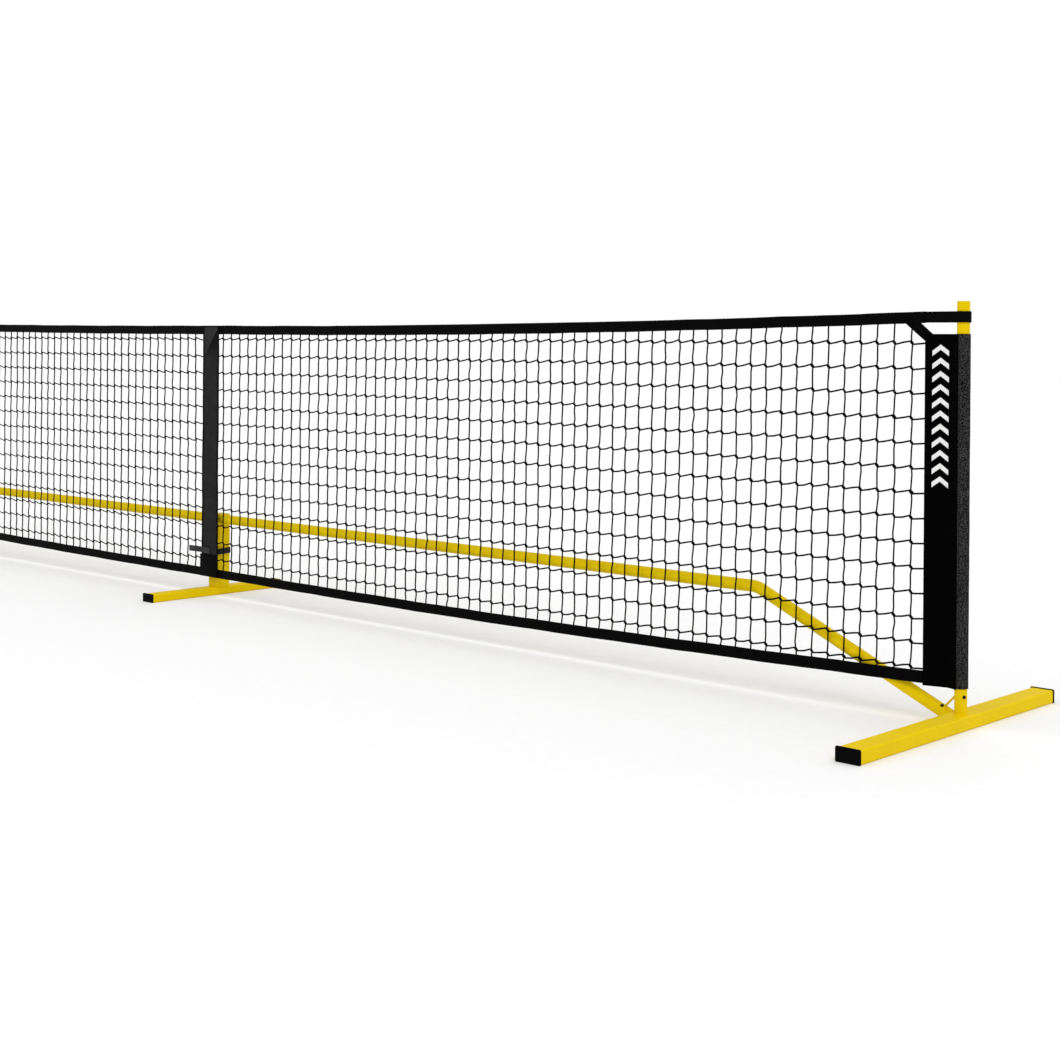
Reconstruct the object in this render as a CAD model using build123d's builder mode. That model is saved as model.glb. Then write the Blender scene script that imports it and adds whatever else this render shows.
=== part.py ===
from build123d import *
import math
import os

os.makedirs("parts", exist_ok=True)

# ---- driving dimensions, millimetres ------------------------------------------------
POST_X = 2743.0           # each post's axis from the middle of the net, 18 ft between posts
NET_Y = 32.5              # the plane in which the net hangs
BAR_Y = 58.5              # the plane of the cross bar, just behind the net
POST_TOP = 936.0
SIDES = (("left", -1), ("right", 1))

END_FOOT = (55.0, 30.0, 843.0, 0.0)         # width, height, length, middle along Y
CENTRE_FOOT = (50.0, 25.0, 518.0, 47.0)
FOOT_WALL = 1.8
FOOT_CORNER = 3.5
CAP_FLANGE = 4.0
CAP_PROUD = 2.2           # how far the flange stands out at the sides and on top
CAP_DEPTH = 18.0
CAP_WALL = 2.0
CAP_CHAMFER = 0.8
CAP_SLIP = 0.1             # gap between a push-in plug and the tube round it

POST_R = 14.0             # posts and their sockets
TUBE_WALL = 1.4
POST_SPIGOT_R = 12.4      # reduced end of a post, a slip fit in its socket
POST_SOCKET_TOP = 108.0
POST_SPIGOT_BOTTOM = 42.0
PLUG_DEPTH = 16.0

BAR_R = 15.0              # cross bars, braces and brace sockets
BAR_SPIGOT_R = 13.4       # their reduced ends
BAR_Z = 249.5
SPIGOT_LENGTH = 60.0
MID_JOINT_X = 1095.0

BRACE_FOOT_Y = 50.0       # the brace's axis where its socket meets the foot's side
BRACE_FOOT_Z = 14.5
BEND_X = 2179.0           # where the brace's two straight runs would cross
BEND_R = 70.0
BEND_STRAIGHT = 8.0       # straight tube between the bend and the bar
BRACE_SOCKET_LENGTH = 85.0
FLOOR_GAP = 0.4           # under the socket's trimmed lower end
BRACE_SPIGOT_LENGTH = 74.0
GUSSET_R = 2.5
GUSSET_LOW = 33.0         # up the brace socket from the foot's side
GUSSET_HIGH = 82.0        # up the post socket from the floor
STEP = 2.0                # thickness of the ring that closes a tube onto its reduced end

CENTRE_POST = 50.0
CENTRE_POST_WALL = 2.0
CENTRE_POST_Y = 67.5
CENTRE_POST_TOP = 265.0
CENTRE_CAP = 1.5          # thickness of its steel lid, and how far two tabs reach below it
CENTRE_CAP_TABS = 4.0

PIN_R = 3.75              # snap buttons
PIN_HOLE_R = 4.05
PIN_PROUD = 3.0           # how far a pin stands out of a post, and of a bar or brace
BAR_PIN_PROUD = 2.5
PIN_DOME = 2.0
STRIP = 0.8               # spring steel
STRIP_WIDTH = 8.0
STRIP_GAP = 0.5
STRIP_LEG = (-9.0, 17.0)  # the ends of the pressed leg along the tube, from the pin
BAR_LEG_R = 11.0          # where the leg lies inside a bar or brace, and inside a post
POST_LEG_R = 10.0
POST_BUTTON_Z = 69.5
POST_BUTTON_ANGLE = 30.0  # turned to the front from straight out
BRACE_BUTTON_AT = 32.0    # up the slope from the foot's side
BRACE_BUTTON_ANGLE = 28.0 # turned to the front from straight up
BAR_BUTTON_AT = 32.0      # from the seam it holds

MESH = 1.0                # netting panel
MESH_START = 8.0          # each half of it starts this far from the middle
TAPE = 6.0
TAPE_EDGE_R = 2.4
TAPE_GAP = 0.3            # between a tape and the piece beside it
TOP_TAPE_HEIGHT = 26.0
TOP_TAPE_Z = 874.0        # its middle line at the centre of the net
BOTTOM_TAPE_HEIGHT = 28.0
BOTTOM_TAPE_Z = 71.0
TAPE_RISE = 27.0          # how far both tapes rise from the centre to the posts
TOP_CORD_R = 2.0
TOP_CORD_ABOVE = 8.5      # the cord's height over the tape's middle line
CORD_CHANNEL_R = 2.15

SLEEVE_BOTTOM = 81.0      # of the flat panel, and of the pocket
POCKET_BOTTOM = 87.0
SLEEVE_TOP = 864.0
SLEEVE_WIDTH = 94.0       # from the post's axis to the sleeve's inner edge
SLEEVE_PANEL = 4.0
POCKET_R = 14.4           # bore of the pocket round the post
POCKET_WALL = 0.9
WEB = 3.0
WEB_REACH = (143.0, 103.5, 74.0)    # its corners along the tape and sleeve, from the post
WEB_DROP = 16.0
STRAP_WEBBING = 3.0
TOP_STRAP_Z = (889.0, 914.0)

CENTRE_STRAP_WIDTH = 87.0
CENTRE_STRAP_THICK = 2.0
CENTRE_STRAP_Z = (59.0, 883.0)
TIE_Z = (135.5, 154.5)
TIE_THICK = 1.6
TIE_TAIL = 65.0
TIE_LAP = 12.0            # how much of the tail lies on the loop
TIE_SLOT = (27.0, 42.0)   # the slot the strap passes through: its middle and its width
TIE_EASE = 0.8            # how loosely the loop lies round the strap and the post

FOOT_SIDE_X = POST_X - END_FOOT[0] / 2
FOOT_TOP = END_FOOT[1]
BRACE_RUN = Vector(BEND_X - FOOT_SIDE_X, BAR_Y - BRACE_FOOT_Y, BAR_Z - BRACE_FOOT_Z).normalized()
BRACE_END_X = BEND_X - BEND_R * math.tan(math.acos(-BRACE_RUN.X) / 2) - BEND_STRAIGHT


def save(part, name):
    part.label = name
    export_step(part, f"parts/{name}.step")


def tape_z(middle_z, x):
    """Height of a tape's middle line, which sags from the posts to the centre."""
    return middle_z + TAPE_RISE * (x / POST_X) ** 2


def brace_point(s, distance):
    """A point on the brace's axis, measured up the slope from the foot's side."""
    at = Vector(FOOT_SIDE_X, BRACE_FOOT_Y, BRACE_FOOT_Z) + BRACE_RUN * distance
    return Vector(s * at.X, at.Y, at.Z)


def tube(start, along, length, radius, wall):
    """A straight round tube made as one ring, extruded from its start."""
    with BuildPart(mode=Mode.PRIVATE) as ring:
        with BuildSketch(Plane(origin=start, z_dir=along)):
            Circle(radius)
            Circle(radius - wall, mode=Mode.SUBTRACT)
        extrude(amount=length)
    return ring.part


# ---- snap buttons -------------------------------------------------------------------
# A snap button is a pin on one leg of a bent spring strip inside the inner tube. Its pin
# reaches through both tubes. The strip's bow and its other leg press on the far wall.
# Each one has a plane: origin on the tube's axis, X out along the pin, Y along the tube.

def pin_hole(plane):
    """The drilled hole that a button's pin comes through, on one side of the tube."""
    with BuildPart(mode=Mode.PRIVATE) as hole:
        with BuildSketch(Plane(origin=plane.origin + plane.x_dir * POST_R / 2, z_dir=plane.x_dir)):
            Circle(PIN_HOLE_R)
        extrude(amount=POST_R)
    return hole.part


def snap_button(plane, leg_r, tip_r):
    """Domed pin with the strip leg it is riveted to."""
    low, high = STRIP_LEG
    root = plane.origin + plane.x_dir * (leg_r - STRIP / 2)
    with BuildPart() as button:
        with BuildSketch(plane):
            with Locations((leg_r - STRIP / 2, (low + high) / 2)):
                Rectangle(STRIP, high - low)
        extrude(amount=STRIP_WIDTH / 2, both=True)
        with BuildSketch(Plane(origin=root, z_dir=plane.x_dir)):
            Circle(PIN_R)
        extrude(amount=tip_r - leg_r + STRIP / 2)
        tip = button.edges().filter_by(GeomType.CIRCLE).sort_by(Axis(plane.origin, plane.x_dir))[-1]
        fillet(tip, PIN_DOME)
    return button.part


def button_spring(plane, leg_r):
    """The strip's bow and far leg, which stay still while the near leg is pushed in."""
    near = leg_r - STRIP / 2
    low, high = STRIP_LEG
    bow_y = low - STRIP_GAP
    with BuildPart() as spring:
        with BuildSketch(plane):
            with BuildLine() as strip:
                Line((-near, high), (-near, bow_y))
                ThreePointArc((-near, bow_y), (0, bow_y - near), (near, bow_y))
            trace(strip.line, line_width=STRIP)
        extrude(amount=STRIP_WIDTH / 2, both=True)
    return spring.part


def button_plane(origin, outward, along):
    return Plane(origin=origin, x_dir=outward, z_dir=Vector(*outward).cross(Vector(*along)))


def joint_planes(s):
    """Where each side's snap buttons sit: name, plane, leg radius, tip radius."""
    turn = math.radians(POST_BUTTON_ANGLE)
    outward = (s * math.cos(turn), -math.sin(turn), 0)
    post = button_plane((s * POST_X, NET_Y, POST_BUTTON_Z), outward, (0, 0, 1))
    up_slope = (brace_point(s, 1) - brace_point(s, 0)).normalized()
    to_rear = up_slope.cross(Vector(0, 0, s)).normalized()
    over = to_rear.cross(up_slope) * s
    tilt = math.radians(BRACE_BUTTON_ANGLE)
    pin_way = over * math.cos(tilt) - to_rear * math.sin(tilt)
    brace = button_plane(brace_point(s, BRACE_BUTTON_AT), pin_way, up_slope)
    rear = [
        button_plane((s * x, BAR_Y, BAR_Z), (0, 1, 0), (s, 0, 0))
        for x in (
            CENTRE_POST / 2 + BAR_BUTTON_AT,
            MID_JOINT_X - BAR_BUTTON_AT,
            BRACE_END_X - BAR_BUTTON_AT,
        )
    ]
    bar_tip = BAR_R + BAR_PIN_PROUD
    return {
        "post": (post, POST_LEG_R, POST_R + PIN_PROUD),
        "brace": (brace, BAR_LEG_R, bar_tip),
        "hub": (rear[0], BAR_LEG_R, bar_tip),
        "mid": (rear[1], BAR_LEG_R, bar_tip),
        "bend": (rear[2], BAR_LEG_R, bar_tip),
    }


# ---- feet ---------------------------------------------------------------------------

def foot_tube(x, size):
    """Flat rectangular tube lying along Y, open at both ends."""
    width, height, length, middle = size
    start = middle - length / 2 + CAP_FLANGE
    with BuildPart() as foot:
        with BuildSketch(Plane(origin=(x, start, height / 2), x_dir=(1, 0, 0), z_dir=(0, 1, 0))):
            RectangleRounded(width, height, FOOT_CORNER)
            RectangleRounded(
                width - 2 * FOOT_WALL, height - 2 * FOOT_WALL, FOOT_CORNER - FOOT_WALL, mode=Mode.SUBTRACT
            )
        extrude(amount=length - 2 * CAP_FLANGE)
    return foot.part


def foot_cap(x, size, end):
    """Push-in plastic cap: an outer flange and a hollow plug that grips the tube."""
    width, height, length, middle = size
    outer = middle + end * length / 2
    face = Plane(origin=(x, outer, height / 2), x_dir=(1, 0, 0), z_dir=(0, -end, 0))
    inset = 2 * (FOOT_WALL + CAP_SLIP)
    plug = (width - inset, height - inset)
    with BuildPart() as cap:
        with BuildSketch(face):
            with Locations((0, face.y_dir.Z * CAP_PROUD / 2)):
                RectangleRounded(width + 2 * CAP_PROUD, height + CAP_PROUD, FOOT_CORNER)
        extrude(amount=CAP_FLANGE)
        with BuildSketch(face.offset(CAP_FLANGE)):
            RectangleRounded(*plug, FOOT_CORNER - FOOT_WALL)
            Rectangle(plug[0] - 2 * CAP_WALL, plug[1] - 2 * CAP_WALL, mode=Mode.SUBTRACT)
        extrude(amount=CAP_DEPTH - CAP_FLANGE)
        rim = cap.faces().sort_by(Axis.Y)[-1 if end > 0 else 0].edges()
        chamfer(rim, CAP_CHAMFER)
    return cap.part


for side, s in SIDES:
    save(foot_tube(s * POST_X, END_FOOT), f"end_foot_{side}")
    save(foot_cap(s * POST_X, END_FOOT, -1), f"end_foot_cap_front_{side}")
    save(foot_cap(s * POST_X, END_FOOT, 1), f"end_foot_cap_rear_{side}")
save(foot_tube(0, CENTRE_FOOT), "centre_foot")
save(foot_cap(0, CENTRE_FOOT, -1), "centre_foot_cap_front")
save(foot_cap(0, CENTRE_FOOT, 1), "centre_foot_cap_rear")


# ---- posts, braces and bars ---------------------------------------------------------

def post_socket(s, planes):
    """Round stub welded on the foot, in which the post's reduced end sits."""
    with BuildPart() as socket:
        add(tube((s * POST_X, NET_Y, FOOT_TOP), (0, 0, 1), POST_SOCKET_TOP - FOOT_TOP, POST_R, TUBE_WALL))
        add(pin_hole(planes["post"][0]), mode=Mode.SUBTRACT)
    return socket.part


def post(s, planes):
    """Post tube with a shoulder that stands on its socket and a reduced lower end."""
    shoulder = POST_SOCKET_TOP
    bore = POST_SPIGOT_R - TUBE_WALL
    with BuildPart() as tube_post:
        with BuildSketch(Plane(origin=(s * POST_X, NET_Y, 0), x_dir=(1, 0, 0), z_dir=(0, -1, 0))):
            with BuildLine():
                Polyline(
                    (bore, POST_SPIGOT_BOTTOM),
                    (POST_SPIGOT_R, POST_SPIGOT_BOTTOM),
                    (POST_SPIGOT_R, shoulder),
                    (POST_R, shoulder),
                    (POST_R, POST_TOP),
                    (POST_R - TUBE_WALL, POST_TOP),
                    (POST_R - TUBE_WALL, shoulder + 3 * STEP),
                    (bore, shoulder + STEP),
                    close=True,
                )
            make_face()
        revolve(axis=Axis((s * POST_X, NET_Y, 0), (0, 0, 1)))
        add(pin_hole(planes["post"][0]), mode=Mode.SUBTRACT)
    return tube_post.part


def post_plug(s):
    """Plastic plug set flush into the post's open top."""
    outer = POST_R - TUBE_WALL - CAP_SLIP
    bottom = Plane(origin=(s * POST_X, NET_Y, POST_TOP - PLUG_DEPTH))
    with BuildPart() as plug:
        with BuildSketch(bottom):
            Circle(outer)
        extrude(amount=PLUG_DEPTH)
        with BuildSketch(bottom):
            Circle(outer - CAP_WALL)
        extrude(amount=PLUG_DEPTH - CAP_FLANGE, mode=Mode.SUBTRACT)
        fillet(plug.edges().filter_by(GeomType.CIRCLE).sort_by(Axis.Z)[-1], CAP_CHAMFER)
    return plug.part


def brace_socket(s, planes):
    """Sloping stub welded to the foot's inner side, cut flush with it and flat underneath."""
    with BuildPart() as socket:
        base = brace_point(s, -2 * BAR_R)
        up_slope = brace_point(s, 1) - brace_point(s, 0)
        add(tube(base, up_slope, BRACE_SOCKET_LENGTH + 2 * BAR_R, BAR_R, TUBE_WALL))
        split(bisect_by=Plane(origin=(s * FOOT_SIDE_X, 0, 0), z_dir=(-s, 0, 0)), keep=Keep.TOP)
        split(bisect_by=Plane.XY.offset(FLOOR_GAP), keep=Keep.TOP)
        add(pin_hole(planes["brace"][0]), mode=Mode.SUBTRACT)
    return socket.part


def brace(s, planes):
    """Bent tube from the cross bar down to the foot, with a reduced end at each end."""
    seam = brace_point(s, BRACE_SOCKET_LENGTH)
    down = brace_point(s, 0) - brace_point(s, 1)
    inboard = Vector(-s, 0, 0)
    bar_end = Vector(s * BRACE_END_X, BAR_Y, BAR_Z)
    lap_r = BAR_R - TUBE_WALL / 2
    with BuildPart() as bent:
        with BuildLine():
            FilletPolyline(bar_end, (s * BEND_X, BAR_Y, BAR_Z), seam, radius=BEND_R)
        with BuildSketch(Plane(origin=bar_end, z_dir=(s, 0, 0))):
            Circle(BAR_R)
            Circle(BAR_R - TUBE_WALL, mode=Mode.SUBTRACT)
        sweep()
        add(tube(bar_end, (s, 0, 0), STEP, lap_r, lap_r - BAR_SPIGOT_R + TUBE_WALL))
        add(tube(bar_end, inboard, SPIGOT_LENGTH, BAR_SPIGOT_R, TUBE_WALL))
        add(tube(seam - down * STEP, down, STEP, lap_r, lap_r - BAR_SPIGOT_R + TUBE_WALL))
        add(tube(seam, down, BRACE_SPIGOT_LENGTH, BAR_SPIGOT_R, TUBE_WALL))
        add(pin_hole(planes["brace"][0]), mode=Mode.SUBTRACT)
        add(pin_hole(planes["bend"][0]), mode=Mode.SUBTRACT)
    return bent.part


def outer_bar(s, planes):
    """Straight bar from the mid joint to the brace, reduced where it enters the inner bar."""
    start = Vector(s * MID_JOINT_X, BAR_Y, BAR_Z)
    outward = Vector(s, 0, 0)
    lap_r = BAR_R - TUBE_WALL / 2
    with BuildPart() as bar:
        add(tube(start, outward, BRACE_END_X - MID_JOINT_X, BAR_R, TUBE_WALL))
        add(tube(start, outward, STEP, lap_r, lap_r - BAR_SPIGOT_R + TUBE_WALL))
        add(tube(start, outward * -1, SPIGOT_LENGTH, BAR_SPIGOT_R, TUBE_WALL))
        add(pin_hole(planes["mid"][0]), mode=Mode.SUBTRACT)
        add(pin_hole(planes["bend"][0]), mode=Mode.SUBTRACT)
    return bar.part


def inner_bar(s, planes):
    """Straight bar from the centre post to the mid joint."""
    with BuildPart() as bar:
        length = MID_JOINT_X - CENTRE_POST / 2
        add(tube((s * CENTRE_POST / 2, BAR_Y, BAR_Z), (s, 0, 0), length, BAR_R, TUBE_WALL))
        add(pin_hole(planes["hub"][0]), mode=Mode.SUBTRACT)
        add(pin_hole(planes["mid"][0]), mode=Mode.SUBTRACT)
    return bar.part


def gusset(s):
    """Thin rod welded between the brace socket and the post socket."""
    low = brace_point(s, GUSSET_LOW)
    high = Vector(s * POST_X, NET_Y, GUSSET_HIGH)
    up_slope = brace_point(s, 1) - brace_point(s, 0)
    with BuildPart() as rod:
        with BuildSketch(Plane(origin=low, z_dir=high - low)):
            Circle(GUSSET_R)
        extrude(amount=(high - low).length)
        with BuildSketch(Plane(origin=(s * POST_X, NET_Y, FOOT_TOP))):
            Circle(POST_R)
        extrude(amount=POST_SOCKET_TOP - FOOT_TOP, mode=Mode.SUBTRACT)
        with BuildSketch(Plane(origin=brace_point(s, 0), z_dir=up_slope)):
            Circle(BAR_R)
        extrude(amount=BRACE_SOCKET_LENGTH, mode=Mode.SUBTRACT)
    return rod.part


for side, s in SIDES:
    planes = joint_planes(s)
    save(post_socket(s, planes), f"post_socket_{side}")
    save(post(s, planes), f"post_{side}")
    save(post_plug(s), f"post_plug_{side}")
    save(brace_socket(s, planes), f"brace_socket_{side}")
    save(brace(s, planes), f"brace_{side}")
    save(gusset(s), f"gusset_rod_{side}")
    save(outer_bar(s, planes), f"outer_bar_{side}")
    save(inner_bar(s, planes), f"inner_bar_{side}")
    for name, (plane, leg_r, tip_r) in planes.items():
        save(snap_button(plane, leg_r, tip_r), f"{name}_button_{side}")
    for name in ("post", "brace"):
        plane, leg_r, tip_r = planes[name]
        save(button_spring(plane, leg_r), f"{name}_button_spring_{side}")
    springs = [button_spring(planes[name][0], planes[name][1]) for name in ("hub", "mid", "bend")]
    save(Compound(children=springs), f"bar_button_springs_{side}")


# ---- centre stand -------------------------------------------------------------------

with BuildPart() as centre_post:
    with BuildSketch(Plane(origin=(0, CENTRE_POST_Y, CENTRE_FOOT[1]))):
        RectangleRounded(CENTRE_POST, CENTRE_POST, FOOT_CORNER)
        inside = CENTRE_POST - 2 * CENTRE_POST_WALL
        RectangleRounded(inside, inside, FOOT_CORNER - CENTRE_POST_WALL, mode=Mode.SUBTRACT)
    extrude(amount=CENTRE_POST_TOP - CENTRE_CAP - CENTRE_FOOT[1])
    with BuildSketch(Plane(origin=(-CENTRE_POST / 2, BAR_Y, BAR_Z), z_dir=(1, 0, 0))):
        Circle(BAR_SPIGOT_R)
    extrude(amount=CENTRE_POST, mode=Mode.SUBTRACT)
save(centre_post.part, "centre_post")

with BuildPart() as centre_post_cap:
    with BuildSketch(Plane(origin=(0, CENTRE_POST_Y, CENTRE_POST_TOP - CENTRE_CAP))):
        RectangleRounded(CENTRE_POST, CENTRE_POST, FOOT_CORNER)
    extrude(amount=CENTRE_CAP)
    with BuildSketch(Plane(origin=(0, CENTRE_POST_Y, CENTRE_POST_TOP - CENTRE_CAP))):
        tab_y = inside / 2 - CAP_SLIP - STRIP
        with Locations((0, tab_y), (0, -tab_y)):
            Rectangle(inside - 2 * FOOT_CORNER, 2 * STRIP)
    extrude(amount=-CENTRE_CAP_TABS)
save(centre_post_cap.part, "centre_post_cap")

with BuildPart() as hub_spigot:
    reach = CENTRE_POST / 2 + SPIGOT_LENGTH
    add(tube((-reach, BAR_Y, BAR_Z), (1, 0, 0), 2 * reach, BAR_SPIGOT_R, TUBE_WALL))
    for side, s in SIDES:
        add(pin_hole(joint_planes(s)["hub"][0]), mode=Mode.SUBTRACT)
save(hub_spigot.part, "hub_spigot")


# ---- net ----------------------------------------------------------------------------
TAPE_END_X = POST_X - SLEEVE_WIDTH - 1.0
NET_PLANE = Plane(origin=(0, NET_Y, 0), x_dir=(1, 0, 0), z_dir=(0, -1, 0))


def sagging_sweep(middle_z, profile, holes=()):
    """Sweep a section along the shallow arc in which the net's tapes and cord hang."""
    ends = tape_z(middle_z, TAPE_END_X)
    with BuildPart() as swept:
        with BuildLine() as path:
            ThreePointArc(
                (-TAPE_END_X, NET_Y, ends), (0, NET_Y, middle_z), (TAPE_END_X, NET_Y, ends)
            )
        start = Plane(origin=path.line @ 0, x_dir=(0, 1, 0), z_dir=path.line % 0)
        with BuildSketch(start):
            profile()
            for offset, radius in holes:
                with Locations((0, offset)):
                    Circle(radius, mode=Mode.SUBTRACT)
        sweep()
    return swept.part


def tape_section(height):
    return lambda: RectangleRounded(TAPE, height, TAPE_EDGE_R)


channel = [(TOP_CORD_ABOVE, CORD_CHANNEL_R)]
save(sagging_sweep(TOP_TAPE_Z, tape_section(TOP_TAPE_HEIGHT), channel), "top_tape")
save(sagging_sweep(TOP_TAPE_Z + TOP_CORD_ABOVE, lambda: Circle(TOP_CORD_R)), "top_cord")
save(sagging_sweep(BOTTOM_TAPE_Z, tape_section(BOTTOM_TAPE_HEIGHT)), "bottom_tape")


def tape_edge(middle_z, half_height, x):
    return tape_z(middle_z, x) + half_height


def corner_web_outline(s):
    """The diagonal web between the top tape and the sleeve's upper inner corner."""
    low = -TOP_TAPE_HEIGHT / 2 - TAPE_GAP
    inner, outer, tip = (POST_X - x for x in WEB_REACH)
    points = [
        (inner, tape_edge(TOP_TAPE_Z, low, inner)),
        (outer, tape_edge(TOP_TAPE_Z, low, outer)),
        (tip, SLEEVE_TOP),
        (POST_X - SLEEVE_WIDTH, SLEEVE_TOP),
        (POST_X - SLEEVE_WIDTH, SLEEVE_TOP - WEB_DROP),
    ]
    return [(s * x, z) for x, z in points]


def net_mesh(s):
    """Half of the netting as one thin panel, with a slot for the tie strap."""
    inner, outer = MESH_START, POST_X - SLEEVE_WIDTH - TAPE_GAP
    along = (inner, (inner + outer) / 2, outer)
    under = -TOP_TAPE_HEIGHT / 2 - TAPE_GAP
    over = BOTTOM_TAPE_HEIGHT / 2 + TAPE_GAP
    top = [(s * x, tape_edge(TOP_TAPE_Z, under, x)) for x in along]
    low = [(s * x, tape_edge(BOTTOM_TAPE_Z, over, x)) for x in along]
    tie_middle = (TIE_Z[0] + TIE_Z[1]) / 2
    with BuildPart() as panel:
        with BuildSketch(NET_PLANE):
            with BuildLine():
                ThreePointArc(top[0], top[1], top[2])
                Line(top[2], low[2])
                ThreePointArc(low[2], low[1], low[0])
                Line(low[0], top[0])
            make_face()
            corner = corner_web_outline(s)
            with BuildLine():
                Polyline(
                    (corner[0][0] - s, corner[0][1] + TAPE),
                    (corner[0][0] - s, corner[0][1] - 2 * TAPE_GAP),
                    (corner[4][0] + s, corner[4][1] - 6 * TAPE_GAP),
                    (corner[4][0] + s, corner[0][1] + TAPE),
                    close=True,
                )
            make_face(mode=Mode.SUBTRACT)
            with Locations((s * TIE_SLOT[0], tie_middle)):
                Rectangle(TIE_SLOT[1], TIE_Z[1] - TIE_Z[0] + MESH * 3, mode=Mode.SUBTRACT)
        extrude(amount=MESH / 2, both=True)
    return panel.part


def sleeve(s):
    """End sleeve: a flat double panel and a round pocket that slides over the post."""
    edge = POST_X - SLEEVE_WIDTH
    overlap = POST_X - POCKET_R - POCKET_WALL / 2
    with BuildPart() as cover:
        with BuildSketch(Plane.XY.offset(SLEEVE_BOTTOM)):
            with Locations((s * (edge + overlap) / 2, NET_Y)):
                Rectangle(overlap - edge, SLEEVE_PANEL)
        extrude(amount=SLEEVE_TOP - SLEEVE_BOTTOM)
        with BuildSketch(Plane.XY.offset(POCKET_BOTTOM)):
            with Locations((s * POST_X, NET_Y)):
                Circle(POCKET_R + POCKET_WALL)
                Circle(POCKET_R, mode=Mode.SUBTRACT)
        extrude(amount=SLEEVE_TOP - POCKET_BOTTOM)
    return cover.part


def top_strap(s):
    """Webbing loop from the end of the top tape round the post."""
    with BuildPart() as loop:
        with BuildSketch(Plane.XY.offset(TOP_STRAP_Z[0])):
            with BuildLine() as outside:
                CenterArc((s * POST_X, NET_Y), POCKET_R + STRAP_WEBBING, 0, 360)
                CenterArc((s * (TAPE_END_X + TAPE / 2 + TAPE_GAP), NET_Y), TAPE / 2, 0, 360)
            make_hull(outside.line.edges())
            with BuildLine() as inside_line:
                CenterArc((s * POST_X, NET_Y), POCKET_R, 0, 360)
                CenterArc((s * (TAPE_END_X + 1.5 * TAPE), NET_Y), TAPE_GAP, 0, 360)
            make_hull(inside_line.line.edges(), mode=Mode.SUBTRACT)
        extrude(amount=TOP_STRAP_Z[1] - TOP_STRAP_Z[0])
    return loop.part


for side, s in SIDES:
    save(net_mesh(s), f"net_mesh_{side}")
    save(sleeve(s), f"sleeve_{side}")
    save(top_strap(s), f"top_strap_{side}")
    with BuildPart() as corner_web:
        with BuildSketch(NET_PLANE):
            with BuildLine():
                Polyline(*corner_web_outline(s), close=True)
            make_face()
        extrude(amount=WEB / 2, both=True)
    save(corner_web.part, f"corner_web_{side}")

strap_back = NET_Y - TAPE / 2 - TAPE_GAP
with BuildPart() as centre_strap:
    with BuildSketch(Plane.XY.offset(CENTRE_STRAP_Z[0])):
        with Locations((0, strap_back - CENTRE_STRAP_THICK / 2)):
            Rectangle(CENTRE_STRAP_WIDTH, CENTRE_STRAP_THICK)
    extrude(amount=CENTRE_STRAP_Z[1] - CENTRE_STRAP_Z[0])
save(centre_strap.part, "centre_strap")

tie_front = strap_back - CENTRE_STRAP_THICK - TIE_EASE / 2
tie_back = CENTRE_POST_Y + CENTRE_POST / 2 + TIE_EASE
half_front = CENTRE_STRAP_WIDTH / 2 + TIE_EASE
half_back = CENTRE_POST / 2 + TIE_EASE
tie_corners = [
    (-half_front, tie_front), (half_front, tie_front), (half_back, tie_back), (-half_back, tie_back)
]
with BuildPart() as tie_strap:
    with BuildSketch(Plane.XY.offset(TIE_Z[0])):
        with BuildLine():
            Polyline(*tie_corners, close=True)
        make_face()
        offset(amount=TIE_THICK, kind=Kind.ARC)
        with BuildLine():
            Polyline(*tie_corners, close=True)
        make_face(mode=Mode.SUBTRACT)
        with Locations((-half_front - TIE_TAIL, tie_front - 2 * TIE_THICK)):
            Rectangle(TIE_TAIL + TIE_LAP, TIE_THICK, align=(Align.MIN, Align.MIN))
    extrude(amount=TIE_Z[1] - TIE_Z[0])
save(tie_strap.part, "tie_strap")
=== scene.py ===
import math

import bpy
import numpy as np
from mathutils import Matrix, Vector


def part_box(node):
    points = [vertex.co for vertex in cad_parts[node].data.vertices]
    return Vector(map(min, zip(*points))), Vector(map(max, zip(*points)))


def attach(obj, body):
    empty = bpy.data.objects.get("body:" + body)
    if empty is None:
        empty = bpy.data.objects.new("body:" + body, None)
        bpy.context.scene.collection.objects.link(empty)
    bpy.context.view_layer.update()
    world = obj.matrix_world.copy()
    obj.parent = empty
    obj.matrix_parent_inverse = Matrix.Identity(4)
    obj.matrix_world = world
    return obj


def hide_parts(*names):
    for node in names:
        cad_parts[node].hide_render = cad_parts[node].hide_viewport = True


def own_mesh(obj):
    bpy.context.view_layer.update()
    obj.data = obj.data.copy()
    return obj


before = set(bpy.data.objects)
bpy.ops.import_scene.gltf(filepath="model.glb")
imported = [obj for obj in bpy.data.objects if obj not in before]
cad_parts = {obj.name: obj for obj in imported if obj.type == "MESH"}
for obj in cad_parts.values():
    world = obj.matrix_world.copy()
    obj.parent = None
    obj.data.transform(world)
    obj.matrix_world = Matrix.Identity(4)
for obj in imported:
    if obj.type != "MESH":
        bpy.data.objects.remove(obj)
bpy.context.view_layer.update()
scene = bpy.context.scene
scene.view_settings.view_transform = "Standard"

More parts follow.
